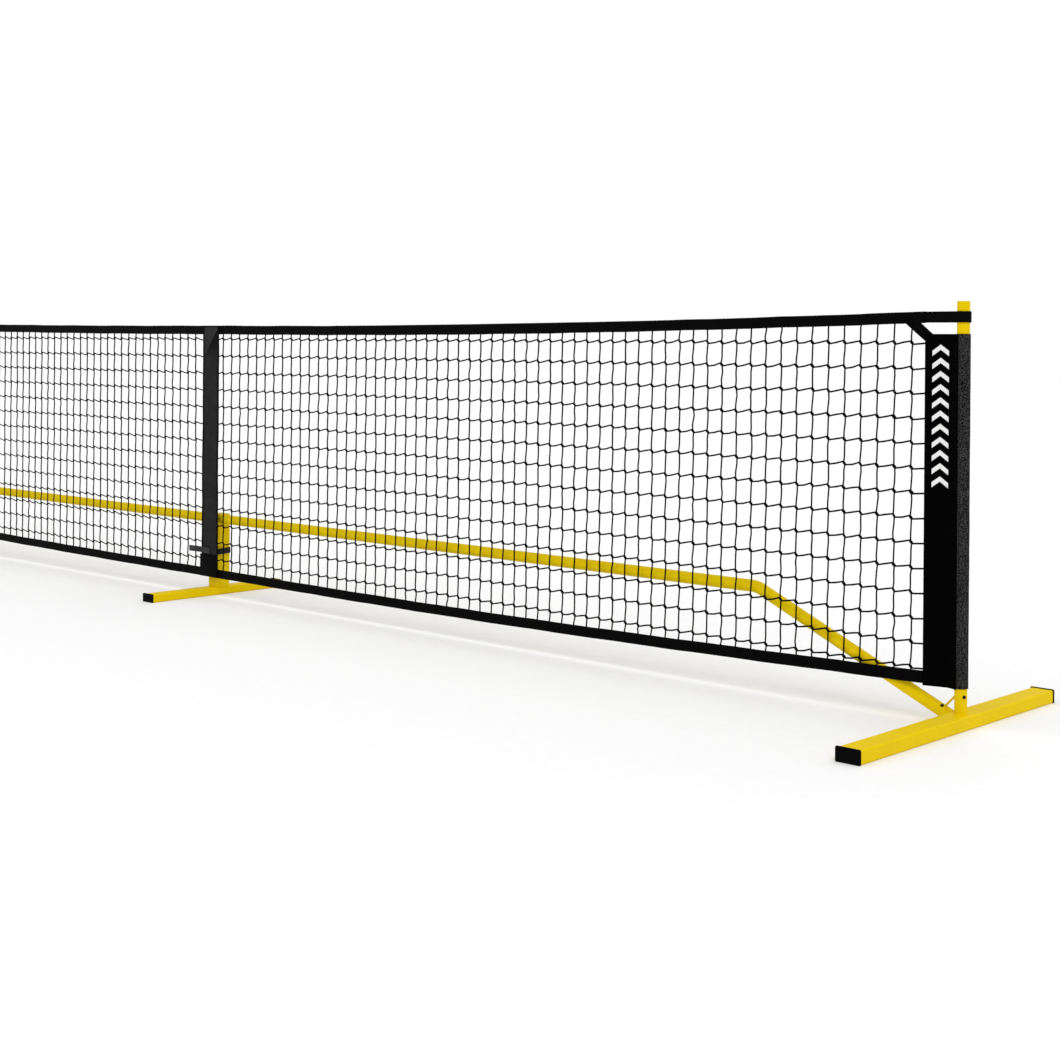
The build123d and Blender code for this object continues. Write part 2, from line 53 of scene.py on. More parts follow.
# ---- camera -------------------------------------------------------------------------
CAMERA_AT = Vector((4.5897, -3.3271, 0.8339))
YAW, ROLL = math.radians(43.162), math.radians(0.437)
forward = Vector((-math.sin(YAW), math.cos(YAW), 0))
level = Vector((math.cos(YAW), math.sin(YAW), 0))
up = Vector((0, 0, 1))
camera_x = level * math.cos(ROLL) + up * math.sin(ROLL)
camera_y = up * math.cos(ROLL) - level * math.sin(ROLL)
camera = bpy.data.objects.new("camera", bpy.data.cameras.new("camera"))
scene.collection.objects.link(camera)
camera_turn = Matrix((camera_x, camera_y, -forward)).transposed().to_4x4()
camera.matrix_world = Matrix.Translation(CAMERA_AT) @ camera_turn
camera.data.sensor_width = 36
camera.data.lens = 57.478
camera.data.shift_y = -0.1751
camera.data.clip_end = 200
scene.camera = camera

# ---- places, most of them read from the frame ---------------------------------------
SIDES = (("left", -1), ("right", 1))
post_low, post_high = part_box("post_right")
POST_X = (post_low.x + post_high.x) / 2
NET_Y = (post_low.y + post_high.y) / 2
POST_R = (post_high.x - post_low.x) / 2
TAPE_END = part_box("top_tape")[1].x
TOP_HALF, BOTTOM_HALF = 0.013, 0.014      # half height of each tape
TAPE_LIFT = 0.001      # of a tape's line over the arc that fills its node's box, and twice this at its ends
sleeve_low, sleeve_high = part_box("sleeve_right")
SLEEVE_EDGE = sleeve_low.x
SLEEVE_BOTTOM, SLEEVE_TOP = sleeve_low.z, sleeve_high.z
POCKET_BOTTOM = SLEEVE_BOTTOM + 0.006
FLAP_TOP = 0.132       # of the dark flap at the centre strap's foot


def hang(node, half, sag):
    """Height of a tape's middle line at a place along the net. The right half sags a little by itself."""
    low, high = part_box(node)
    middle, rise = low.z + half + TAPE_LIFT, high.z - low.z - 2 * half + TAPE_LIFT

    def height(x):
        share = np.asarray(x) / high.x
        return middle + rise * share ** 2 - sag * np.sin(math.pi * np.clip(share, 0, 1))

    return height


top_z = hang("top_tape", TOP_HALF, 0.005)
bottom_z = hang("bottom_tape", BOTTOM_HALF, 0.0055)


# ---- materials ----------------------------------------------------------------------
class Finish:
    """A node material, built one node at a time. A node's inputs are values or other nodes' outputs."""

    def __init__(self, name, **sockets):
        self.material = bpy.data.materials.new(name)
        self.material.use_nodes = True
        self.nodes = self.material.node_tree.nodes
        self.shader = self.nodes["Principled BSDF"]
        self.place = self.node("ShaderNodeTexCoord").outputs["Object"]
        for socket, value in sockets.items():
            self.join(value, self.shader.inputs[socket.replace("_", " ")])

    def join(self, value, socket):
        if isinstance(value, bpy.types.NodeSocket):
            self.material.node_tree.links.new(value, socket)
        else:
            socket.default_value = value

    def node(self, kind, inputs=(), **settings):
        made = self.nodes.new(kind)
        for key, value in settings.items():
            setattr(made, key, value)
        for key, value in dict(inputs).items():
            self.join(value, made.inputs[key])
        return made

    def noise(self, scale, detail=3.0, stretch=(1, 1, 1)):
        place = self.place
        if stretch != (1, 1, 1):
            place = self.node("ShaderNodeMapping", {"Vector": place, "Scale": stretch}).outputs[0]
        return self.node("ShaderNodeTexNoise", {"Vector": place, "Scale": scale, "Detail": detail}).outputs[0]

    def waves(self, scale, direction="X", distortion=0.0):
        inputs = {"Vector": self.place, "Scale": scale, "Distortion": distortion}
        return self.node("ShaderNodeTexWave", inputs, bands_direction=direction).outputs["Fac"]

    def math(self, operation, a, b=0.0):
        made = self.node("ShaderNodeMath", operation=operation)
        self.join(a, made.inputs[0])
        self.join(b, made.inputs[1])
        return made.outputs[0]

    def step(self, value, start, end):
        """Smooth change from 0 at one value to 1 at another."""
        inputs = {"Value": value, "From Min": start, "From Max": end}
        return self.node("ShaderNodeMapRange", inputs, interpolation_type="SMOOTHSTEP").outputs[0]

    def ramp(self, value, *stops):
        made = self.node("ShaderNodeValToRGB", {"Fac": value})
        points = made.color_ramp.elements
        while len(points) < len(stops):
            points.new(0.5)
        for point, (at, colour) in zip(points, stops):
            point.position = at
            point.color = (*colour, 1) if hasattr(colour, "__len__") else (colour, colour, colour, 1)
        return made.outputs[0]

    def colour(self, value, *stops):
        self.join(self.ramp(value, *stops), self.shader.inputs["Base Color"])

    def roughness(self, value, low, high):
        made = self.node("ShaderNodeMapRange", {"Value": value, "To Min": low, "To Max": high})
        self.join(made.outputs[0], self.shader.inputs["Roughness"])

    def bump(self, *layers):
        """Layers of (height, depth in metres), one over another."""
        normal = None
        for height, depth in layers:
            made = self.node("ShaderNodeBump", {"Height": height, "Distance": depth})
            if normal is not None:
                self.join(normal, made.inputs["Normal"])
            normal = made.outputs[0]
        self.join(normal, self.shader.inputs["Normal"])


def powder_coat():
    f = Finish("yellow_powder_coat", Specular_IOR_Level=0.05)
    broad, peel = f.noise(9.0), f.noise(700.0, 2.0)
    f.colour(broad, (0.3, (0.77, 0.545, 0.0)), (0.7, (0.82, 0.59, 0.0)))
    f.roughness(broad, 0.4, 0.55)
    f.bump((peel, 0.00012))
    return f.material


def plastic():
    f = Finish("black_plastic", Specular_IOR_Level=0.03)
    grain = f.noise(900.0, 4.0)
    f.colour(f.noise(25.0), (0.3, (0.0006, 0.0006, 0.0007)), (0.7, (0.0016, 0.0016, 0.0017)))
    f.roughness(grain, 0.38, 0.62)
    f.bump((grain, 0.00015))
    return f.material


def coated_pin():
    f = Finish("snap_button", Specular_IOR_Level=0.15)
    wear = f.noise(500.0, 3.0)
    f.colour(wear, (0.3, (0.004, 0.004, 0.004)), (0.7, (0.012, 0.012, 0.012)))
    f.roughness(wear, 0.3, 0.5)
    f.bump((wear, 0.00005))
    return f.material


def steel(name, dark):
    f = Finish(name, Metallic=1.0)
    brushed = f.noise(300.0, 3.0, (1, 1, 6))
    f.colour(brushed, (0.3, (dark, dark, dark)), (0.7, (dark * 1.6, dark * 1.6, dark * 1.65)))
    f.roughness(brushed, 0.28, 0.5)
    f.bump((brushed, 0.00004))
    return f.material


def netting():
    f = Finish("net_cord", Specular_IOR_Level=0.02)
    twist = f.waves(170.0, "DIAGONAL", distortion=0.6)
    f.colour(twist, (0.2, (0.001, 0.001, 0.001)), (0.8, (0.005, 0.005, 0.0055)))
    f.roughness(twist, 0.55, 0.8)
    f.bump((twist, 0.0004))
    return f.material


WAVE_LENGTH = 0.314      # of a wave texture at scale 1, in metres


def weave(
    name, low, high, pitch, depth, rough=(0.6, 0.85), shine=0.05, mottle=0.0, span=(0.32, 0.68), shade=None
):
    """Plain weave: two crossed sets of threads over a slow variation of the colour.

    Pitch and depth are a thread's, in metres. Low and high are the darkest and lightest colour, reached at
    the two ends of span. Mottle is the share of fine specks. Shade is a function that makes a factor for the
    colour.
    """
    f = Finish(name, Specular_IOR_Level=shine)
    scale = WAVE_LENGTH / pitch
    across, along = f.waves(scale, "X"), f.waves(scale, "Z")
    threads = f.math("MULTIPLY", across, along)
    slow = f.noise(30.0, 4.0)
    tone = f.math("ADD", f.math("MULTIPLY", threads, 0.45), f.math("MULTIPLY", slow, 0.55))
    if mottle:
        specks = f.noise(420.0, 3.0)
        tone = f.math("ADD", f.math("MULTIPLY", tone, 1 - mottle), f.math("MULTIPLY", specks, mottle))
    f.colour(tone, (span[0], low), (span[1], high))
    if shade:
        plain = f.shader.inputs["Base Color"].links[0].from_socket
        shaded = f.node("ShaderNodeVectorMath", {0: plain, 1: shade(f)}, operation="MULTIPLY")
        f.join(shaded.outputs[0], f.shader.inputs["Base Color"])
    f.roughness(tone, *rough)
    f.bump((slow, 0.0006), (threads, depth))
    return f.material


CREASE_X, CREASE_Z, CREASE_SLOPE = 0.0435, 0.883, 1.232      # where it meets the strap's right edge
CREASE_PAINTED_HIGHLIGHT, CREASE_PAINTED_SHADE, FLAP_DARK, LOOP_DARK = 0.5, 0.8, 0.93, 0.93      # shares that lighten or darken: a painted highlight above the crease, painted shade just below it, the flap's darker cloth, the tie's darker end past the strap


def centre_highlight_shade_and_flap(f):
    """A painted highlight above the crease across the strap's top corner, painted shade just below it, and the
    flap's darker cloth.
    """
    x, _, z = f.node("ShaderNodeSeparateXYZ", {0: f.place}).outputs
    crease = f.math("MULTIPLY", f.math("SUBTRACT", x, CREASE_X), CREASE_SLOPE)
    above = f.math("SUBTRACT", f.math("SUBTRACT", z, CREASE_Z), crease)
    # painted highlight: lighter above the crease
    light = f.step(above, 0.0, 0.006)
    # painted shade: darker just below the crease, across the strap's top
    turned = f.math("MULTIPLY", f.math("SUBTRACT", 1.0, light), f.step(z, 0.775, 0.835))
    flap = f.step(z, FLAP_TOP + 0.002, FLAP_TOP - 0.002)
    dark = f.math("MAXIMUM", f.math("MULTIPLY", turned, CREASE_PAINTED_SHADE), f.math("MULTIPLY", flap, FLAP_DARK))
    highlighted = f.math("ADD", 1.0, f.math("MULTIPLY", light, CREASE_PAINTED_HIGHLIGHT))
    return f.math("MULTIPLY", highlighted, f.math("SUBTRACT", 1.0, dark))


def tie_shade(f):
    """Grey where the tie crosses the strap, black where it goes on to the post."""
    x = f.node("ShaderNodeSeparateXYZ", {0: f.place}).outputs[0]
    past_strap = f.step(x, 0.041, 0.045)
    return f.math("SUBTRACT", 1.0, f.math("MULTIPLY", past_strap, LOOP_DARK))


YELLOW, PLASTIC = powder_coat(), plastic()
BUTTON, SPRING = coated_pin(), steel("spring_steel", 0.35)
CORD = netting()
HEM_CORD = weave("hem_cord", (0.01, 0.01, 0.01), (0.03, 0.03, 0.03), 0.0012, 0.0003)
BINDING = weave(
    "net_binding", (0.0004, 0.0004, 0.0004), (0.0022, 0.0022, 0.0024), 0.0009, 0.00008, (0.5, 0.65),
    shine=0.03,
)
PANEL = weave(
    "sleeve_fabric", (0.0001, 0.0001, 0.0001), (0.0008, 0.0008, 0.0009), 0.0008, 0.00006, (0.6, 0.75),
    shine=0.015,
)
POCKET = weave(
    "sleeve_pocket", (0.0, 0.0, 0.0), (0.075, 0.075, 0.077), 0.0012, 0.0003, (0.8, 0.95),
    shine=0.02, mottle=0.85, span=(0.42, 0.62),
)
WEBBING = weave(
    "webbing", (0.0005, 0.0005, 0.0005), (0.004, 0.004, 0.004), 0.0016, 0.0003, (0.6, 0.8), shine=0.03
)
# The centre strap's colour carries a painted highlight and painted shade at the fold near its top.
CENTRE = weave(
    "centre_webbing", (0.014, 0.014, 0.015), (0.034, 0.034, 0.035), 0.0016, 0.0003, (0.65, 0.85),
    shade=centre_highlight_shade_and_flap,
)
TIE = weave("tie_webbing", (0.03, 0.03, 0.031), (0.075, 0.075, 0.077), 0.0016, 0.0003, (0.6, 0.8))
TIE_LOOP = weave(
    "tie_loop_webbing", (0.012, 0.012, 0.012), (0.034, 0.034, 0.035), 0.0016, 0.0003, (0.6, 0.8),
    shade=tie_shade,
)
THREAD = weave("thread", (0.004, 0.004, 0.004), (0.014, 0.014, 0.014), 0.0006, 0.0001)


def ink():
    f = Finish("print_ink")
    wear = f.noise(160.0, 5.0)
    f.colour(wear, (0.25, (0.72, 0.72, 0.72)), (0.5, (0.86, 0.86, 0.86)))
    f.roughness(wear, 0.5, 0.7)
    f.bump((wear, 0.00005))
    return f.material


INK = ink()


# ---- mesh building ------------------------------------------------------------------
def mesh_object(name, points, faces, material, smooth=True):
    mesh = bpy.data.meshes.new(name)
    mesh.from_pydata(np.asarray(points).reshape(-1, 3).tolist(), [], faces)
    mesh.materials.append(material)
    mesh.polygons.foreach_set("use_smooth", [smooth] * len(mesh.polygons))
    mesh.validate()
    mesh.update()
    made = bpy.data.objects.new(name, mesh)
    scene.collection.objects.link(made)
    return made


def skin_faces(rings, around, loop=False, start=0):
    """Quads over rings of points, with the first and last ring closed unless they join up."""
    faces = []
    for i in range(rings if loop else rings - 1):
        a, b = start + i * around, start + (i + 1) % rings * around
        faces += [(a + j, a + (j + 1) % around, b + (j + 1) % around, b + j) for j in range(around)]
    if not loop:
        last = start + (rings - 1) * around
        faces += [tuple(range(start + around - 1, start - 1, -1)), tuple(range(last, last + around))]
    return faces


def loft(name, rings, material, loop=False):
    """A closed skin over rings of points that all have the same number."""
    rings = np.asarray(rings)
    return mesh_object(name, rings, skin_faces(*rings.shape[:2], loop), material)


def rounded(width, height, radius, steps=3):
    """A rounded rectangle as a ring of points round the origin."""
    ring = []
    for cx, cy, start in ((1, 1, 0), (-1, 1, 90), (-1, -1, 180), (1, -1, 270)):
        for angle in np.radians(np.linspace(start, start + 90, steps + 1)):
            ring.append((
                cx * (width / 2 - radius) + radius * math.cos(angle),
                cy * (height / 2 - radius) + radius * math.sin(angle),
            ))
    return np.array(ring)


def resample(path, step, loop=False):
    """Points evenly spaced along a path."""
    path = np.asarray(path, float)
    if loop:
        path = np.vstack([path, path[:1]])
    run = np.concatenate([[0], np.cumsum(np.linalg.norm(np.diff(path, axis=0), axis=1))])
    count = max(int(round(run[-1] / step)), 2)
    at = np.linspace(0, run[-1], count + 1)
    if loop:
        at = at[:-1]
    return np.stack([np.interp(at, run, path[:, k]) for k in range(3)], axis=1)


def tangents(path, loop=False):
    """Unit directions along a path, at its points."""
    if loop:
        step = np.roll(path, -1, axis=0) - np.roll(path, 1, axis=0)
    else:
        step = np.gradient(path, axis=0)
    return step / np.linalg.norm(step, axis=1)[:, None]


def strap_rings(path, section, loop=False):
    """Rings of a flat strap that stands on edge: the section's first axis lies level across the path."""
    path = np.asarray(path, float)
    across = np.cross(tangents(path, loop), (0, 0, 1))
    across /= np.linalg.norm(across, axis=1)[:, None]
    rings = path[:, None] + section[None, :, :1] * across[:, None]
    rings[:, :, 2] += section[None, :, 1]
    return rings


def tube_rings(path, radii, around=6, loop=False):
    """Rings of a round cord or bead along a path, with one radius or one for each point."""
    path = np.asarray(path, float)
    along = tangents(path, loop)
    side = np.cross(along, (0, 1, 0.001))
    side /= np.linalg.norm(side, axis=1)[:, None]
    other = np.cross(along, side)
    turn = np.linspace(0, 2 * math.pi, around, endpoint=False)
    radii = np.broadcast_to(np.asarray(radii, float), len(path))
    return path[:, None] + radii[:, None, None] * (
        np.cos(turn)[None, :, None] * side[:, None] + np.sin(turn)[None, :, None] * other[:, None]
    )


STITCH_SHARE, STITCH_R = 0.62, 0.00035      # a stitch's share of its pitch, and its half thickness


def stitching(name, rows, pitch):
    """Rows of thread stitches, each a short spindle that rises from the cloth. A row is (path, outward)."""
    points, faces = [], []
    for path, outward in rows:
        at = resample(path, pitch)
        along = tangents(at)
        outward = np.broadcast_to(np.asarray(outward, float), at.shape)
        across = np.cross(along, outward)
        for p, a, o, c in zip(at, along, outward, across):
            first = len(points)
            half = a * pitch * STITCH_SHARE / 2
            out, side = o * STITCH_R, c * STITCH_R
            points += [p - half, p + half, p + out, p + side, p - out, p - side]
            for k in range(4):
                m, n = first + 2 + k, first + 2 + (k + 1) % 4
                faces += [(first, n, m), (first + 1, m, n)]
    made = mesh_object(name, points, faces, THREAD)
    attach(made, "net")


def ripple(x, seed, reach=1.0):
    """Smooth repeatable waviness, from -1 to 1, of a length in metres."""
    rng = np.random.default_rng(seed)
    total = np.zeros_like(np.asarray(x, float))
    for octave in (1.0, 2.3, 5.1):
        total += np.sin(2 * math.pi * np.asarray(x) * octave / reach + rng.uniform(0, 2 * math.pi)) / octave
    return total / 1.63


def place(piece, body, slot, *nodes):
    """Gives a piece its body, and hides the soft solids that it stands for. The slot is not used."""
    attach(piece, body)
    if nodes:
        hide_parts(*nodes)


# ---- netting ------------------------------------------------------------------------
ROW_STEP, TOP_ROW = 0.05589, 0.8441
RIGHT_STEP, LEFT_STEP = 0.04403, 0.04392
STEPS_TO_POST = 60.91      # from the first column right of the centre strap to just short of the post's axis
ROWS = [TOP_ROW - k * ROW_STEP for k in range(14)]
# The first column of each half lies behind the centre strap.
RIGHT_COLUMNS = [0.0214] + [POST_X - 0.0005 - (STEPS_TO_POST - k) * RIGHT_STEP for k in range(59)]
LEFT_COLUMNS = [-0.044] + [-0.0915 - k * LEFT_STEP for k in range(58)]
CORD_R = 0.0021
KNOT = (0.0058, 0.0038, 0.0032)          # half length, half height and half depth
KNOT_PROFILE = ((-1, 0.28), (-0.62, 0.86), (0, 1.0), (0.62, 0.86), (1, 0.28))    # place, share of full size
KNOT_STEP, KNOT_DROP = 0.0036, 0.0036    # how far a row runs on and drops across half a knot
KNOT_SIDE = np.array((0.0013, 0, -0.001))    # from a knot's middle to where a column leaves it
UNEVEN = 0.0006                          # of the knots' places
LEAN_AT = ((-2.65, 0.0), (0.0, 0.009), (1.3, 0.006), (2.65, 0.0035))   # place along the net, lean at the bottom


def lean(x, z):
    """How far the netting's columns have crept towards +X at a height, more towards the bottom."""
    places, most = zip(*LEAN_AT)
    return float(np.interp(x, places, most)) * (ROWS[0] - z) / (ROWS[0] - ROWS[-1])


def knot_places(columns, rng):
    """Where each column meets each row."""
    places = {}
    for i, x in enumerate(columns):
        for j, z in enumerate(ROWS):
            crept = x + lean(x, z) + rng.normal(0, UNEVEN)
            places[i, j] = np.array((crept, NET_Y, z + rng.normal(0, UNEVEN)))
    return places


def row_path(s, z, knots, step, rng):
    """A row's cord from the middle to the sleeve. It climbs between knots and steps down through each."""
    path = [np.array((0.0, NET_Y, z))]
    for at in knots:
        slack = (0, 0, rng.normal(-0.0006, 0.0006))
        path += [(path[-1] + at - step) / 2 + slack, at - step, at + step]
    path.append(np.array((s * (SLEEVE_EDGE + 0.012), NET_Y, z)))
    return path


def column_path(x, knots, rng):
    """A column's cord from the top tape to the bottom tape, swaying a little between knots."""
    top_at = float(top_z(x)) - TOP_HALF + 0.008
    low_at = float(bottom_z(x)) + BOTTOM_HALF - 0.006
    top, low = (np.array((x + lean(x, z), NET_Y, z)) for z in (top_at, low_at))
    stops = [top, *knots, low]
    path = [top]
    for a, b in zip(stops, stops[1:]):
        for share, pull in ((0.06, 1.0), (0.3, 0.55), (0.7, 0.45), (0.94, 1.0)):
            sway = rng.normal(0, 0.0008) if 0.1 < share < 0.9 else 0.0
            aside = (KNOT_SIDE if share < 0.5 else -KNOT_SIDE) * pull
            path.append(a + (b - a) * share + aside + (sway, rng.normal(0, 0.0003), 0))
        path.append(b)
    return path


def knot_rings(at, size, long_axis):
    """A knot: a bead along its row's slant."""
    turn = np.linspace(0, 2 * math.pi, 7, endpoint=False)
    over = np.array((-long_axis[2], 0, long_axis[0])) * np.cos(turn)[:, None]
    deep = np.array((0, 1, 0)) * np.sin(turn)[:, None]
    return [
        at + long_axis * KNOT[0] * k * size + over * KNOT[1] * swell * size + deep * KNOT[2] * swell * size
        for k, swell in KNOT_PROFILE
    ]


def netting_half(side, s, columns, seed):
    """Knotted netting as one piece: rows, columns and knots."""
    rng = np.random.default_rng(seed)
    points, faces = [], []

    def add(rings):
        rings = np.asarray(rings)
        faces.extend(skin_faces(*rings.shape[:2], start=len(points)))
        points.extend(rings.reshape(-1, 3))

    knots = knot_places(columns, rng)
    step = np.array((s * KNOT_STEP, 0, -KNOT_DROP))
    for j, z in enumerate(ROWS):
        along = [knots[i, j] for i in range(len(columns))]
        add(tube_rings(row_path(s, z, along, step, rng), CORD_R))
    for i, x in enumerate(columns):
        down = [knots[i, j] for j in range(len(ROWS))]
        add(tube_rings(column_path(x, down, rng), CORD_R))
    for at in knots.values():
        add(knot_rings(at, 1 + rng.normal(0, 0.07), step / np.linalg.norm(step)))
    place(mesh_object(f"netting_{side}", points, faces, CORD), "net", "net_cord", f"net_mesh_{side}")


netting_half("right", 1, RIGHT_COLUMNS, 7)
netting_half("left", -1, LEFT_COLUMNS, 8)


# ---- tapes --------------------------------------------------------------------------
TAPE_CLOTH = 0.0008
FOLD_R, OPEN_GAP = 0.0031, 0.0023      # of the outside at the fold, and half the thickness at the open edge


def folded_section(half, fold_up):
    """A strip of cloth folded along one edge, round at the fold and pressed together at the open edge."""
    fold_z = half - FOLD_R
    bend = np.radians(np.linspace(180, 0, 9))
    flank = [(OPEN_GAP, -half), (0.0025, -half * 0.45), (0.0029, half * 0.2)]
    outer = [(-x, z) for x, z in flank]
    outer += [(FOLD_R * math.cos(a), fold_z + FOLD_R * math.sin(a)) for a in bend]
    outer += flank[::-1]
    outer = np.array(outer)
    inner = outer.copy()
    inner[:, 0] -= np.sign(inner[:, 0]) * TAPE_CLOTH
    inner[3:-3, 0] = [(FOLD_R - TAPE_CLOTH) * math.cos(a) for a in bend]
    inner[3:-3, 1] = [fold_z + (FOLD_R - TAPE_CLOTH) * math.sin(a) for a in bend]
    section = np.vstack([outer, inner[::-1]])
    if not fold_up:
        section = section[::-1] * (1, -1)
    return section


def tape(name, node, half, height, fold_up, seed, deeper):
    """A folded tape along the whole net. Its lower half reaches deeper, by this share, towards the middle."""
    section = folded_section(half, fold_up)
    x = np.linspace(-TAPE_END, TAPE_END, 481)
    rings = np.zeros((len(x), len(section), 3))
    rings[:, :, 0] = x[:, None]
    pucker = 0.00025 * ripple(x, seed, 0.088)[:, None] * np.sign(section[None, :, 0])
    rings[:, :, 1] = NET_Y + section[None, :, 0] + pucker
    wave = 0.0006 * ripple(x, seed + 1, 0.31)
    slack = 1 + deeper * (1 - (x / TAPE_END) ** 2)[:, None] * (section[None, :, 1] < 0)
    rings[:, :, 2] = height(x)[:, None] + section[None, :, 1] * slack + wave[:, None]
    piece = loft(name, rings, BINDING)
    place(piece, "net", "net_binding", node)


tape("top_tape_cloth", "top_tape", TOP_HALF, top_z, True, 3, 0.22)
tape("bottom_tape_cloth", "bottom_tape", BOTTOM_HALF, bottom_z, False, 5, 0.0)

line_x = np.linspace(-TAPE_END + 0.01, TAPE_END - 0.01, 300)
rows = []
for height, offset in ((top_z, -TOP_HALF + 0.004), (bottom_z, BOTTOM_HALF - 0.004)):
    for face in (-1, 1):
        y = NET_Y + face * 0.0026
        path = np.stack([line_x, np.full_like(line_x, y), height(line_x) + offset], axis=1)
        rows.append((path, (0, face, 0)))
stitching("tape_stitching", rows, 0.0065)


# ---- end sleeves --------------------------------------------------------------------
CLOTH = 0.0009
LAYER_Y = 0.0016                      # of each layer of the panel from the net's plane
SEAM_X = POST_X - POST_R - 0.0016     # where the panel meets the pocket
POCKET_MEAN_R = POST_R + 0.0009
WRAP_R = POCKET_MEAN_R + 0.0021       # of the front layer over the pocket


def cloth_ribbon(plan, heights, sway):
    """Rings of a hanging cloth: an open line in plan with the cloth's thickness, at each height."""
    plan = np.asarray(plan, float)
    along = np.gradient(plan, axis=0)
    normal = np.stack([along[:, 1], -along[:, 0]], axis=1)
    normal /= np.linalg.norm(normal, axis=1)[:, None]
    rings = []
    for z in heights:
        bulge = sway(plan, z)[:, None]
        outer = plan + normal * (CLOTH / 2 + bulge)
        inner = plan + normal * (bulge - CLOTH / 2)
        ring = np.vstack([outer, inner[::-1]])
        rings.append(np.column_stack([ring, np.full(len(ring), z)]))
    return rings


def panel_plan():
    """The right panel in plan: over the pocket, along the front layer, round the fold and back."""
    fold_x = SLEEVE_EDGE + LAYER_Y
    plan = [
        (POST_X + WRAP_R * math.cos(a), WRAP_R * math.sin(a)) for a in np.radians(np.linspace(257, 214, 10))
    ]
    plan += [(x, -LAYER_Y) for x in np.linspace(POST_X - 0.034, fold_x, 20)]
    plan += [
        (fold_x - LAYER_Y * math.sin(a), -LAYER_Y * math.cos(a)) for a in np.radians((30, 60, 90, 120, 150))
    ]
    plan += [(x, LAYER_Y) for x in np.linspace(fold_x, SEAM_X + 0.0008, 22)]
    return np.array(plan)


def sleeve_panel(side, s):
    """The flat double panel, with a lower edge that slants up towards the post."""
    plan = panel_plan()
    plan = np.column_stack([s * plan[:, 0], NET_Y + plan[:, 1]])
    if s < 0:
        plan = plan[::-1]

    def sway(points, z):
        reach = (POST_X - np.abs(points[:, 0])) / (POST_X - SLEEVE_EDGE)
        return 0.0006 * np.sin(reach * math.pi) * float(ripple(z, 11 + s, 0.42))

    rings = np.array(cloth_ribbon(plan, np.linspace(SLEEVE_BOTTOM, SLEEVE_TOP, 90), sway))
    to_post = np.clip((np.abs(rings[:, :, 0]) - SLEEVE_EDGE) / (POST_X - SLEEVE_EDGE), 0, 1)
    to_floor = (SLEEVE_TOP - rings[:, :, 2]) / (SLEEVE_TOP - SLEEVE_BOTTOM)
    rings[:, :, 2] += (0.005 * to_post - 0.001) * to_floor
    panel = loft(f"sleeve_panel_{side}", rings, PANEL)
    place(panel, "net", "sleeve_fabric", f"sleeve_{side}")


def sleeve_pocket(side, s):
    """The pocket round the post, open where the panel's layers come in."""
    angles = np.radians(np.linspace(187, 533, 49) if s > 0 else np.linspace(-7, -353, 49)[::-1])
    plan = np.column_stack([
        s * POST_X + POCKET_MEAN_R * np.cos(angles),
        NET_Y + POCKET_MEAN_R * np.sin(angles),
    ])

    def sway(points, z):
        around = np.arctan2(points[:, 1] - NET_Y, points[:, 0] - s * POST_X)
        loose = 0.5 + 0.5 * np.sin(around * 3 + 5 * float(ripple(z, 21 + s, 0.6)))
        return 0.0004 + 0.0007 * loose * (0.5 + 0.5 * float(ripple(z, 31 + s, 0.11)))

    rings = cloth_ribbon(plan, np.linspace(POCKET_BOTTOM, SLEEVE_TOP, 90), sway)
    pocket = loft(f"sleeve_pocket_{side}", rings, POCKET)
    place(pocket, "net", "sleeve_fabric", f"sleeve_{side}")


def sleeve_seams(side, s):
    """Double rows of stitches up both edges of the panel, and one across its top and bottom."""
    rows = []
    for face in (-1, 1):
        y = NET_Y + face * 0.0021
        for x in (SLEEVE_EDGE + 0.006, SLEEVE_EDGE + 0.0085, SEAM_X - 0.003, SEAM_X - 0.0055):
            rows.append(([(s * x, y, SLEEVE_BOTTOM + 0.004), (s * x, y, SLEEVE_TOP - 0.004)], (0, face, 0)))
        for z in (SLEEVE_BOTTOM + 0.009, SLEEVE_TOP - 0.009):
            rows.append(([(s * (SLEEVE_EDGE + 0.004), y, z), (s * SEAM_X, y, z)], (0, face, 0)))
    stitching(f"sleeve_stitching_{side}", rows, 0.0045)


for side, s in SIDES:
    sleeve_panel(side, s)
    sleeve_pocket(side, s)
    sleeve_seams(side, s)

CHEVRONS, FIRST_CHEVRON, CHEVRON_STEP = 11, 0.523, 0.0292      # how many, the lowest one's foot, their spacing
CHEVRON_HALF, CHEVRON_RISE, CHEVRON_ARM = 0.0205, 0.014, 0.0115


def chevron_print(side, s):
    """A plain column of chevrons that point up, printed on the sleeve's front."""
    middle = s * (SLEEVE_EDGE + POST_X - POST_R) / 2
    half, tip, arm = CHEVRON_HALF, CHEVRON_RISE, CHEVRON_ARM
    outline = [(-half, 0), (0, tip), (half, 0), (half, arm), (0, tip + arm), (-half, arm)]
    count = len(outline)
    points, faces = [], []
    for k in range(CHEVRONS):
        foot, first = FIRST_CHEVRON + k * CHEVRON_STEP, len(points)
        for y in (NET_Y - 0.0028, NET_Y - 0.0020):
            points.extend((middle + x, y, foot + z) for x, z in outline)
        faces.append(tuple(range(first, first + count)))
        faces.append(tuple(range(first + 2 * count - 1, first + count - 1, -1)))
        for a in range(count):
            b = (a + 1) % count
            faces.append((first + b, first + a, first + count + a, first + count + b))
    place(mesh_object(f"sleeve_print_{side}", points, faces, INK, smooth=False), "net", "sleeve_fabric")


for side, s in SIDES:
    chevron_print(side, s)


# ---- webbing at the corners ---------------------------------------------------------
WEB_HALF, WEB_ACROSS, INTO_TAPE = 0.0012, 0.0395, 0.006      # half thickness, width under the tape, end in it


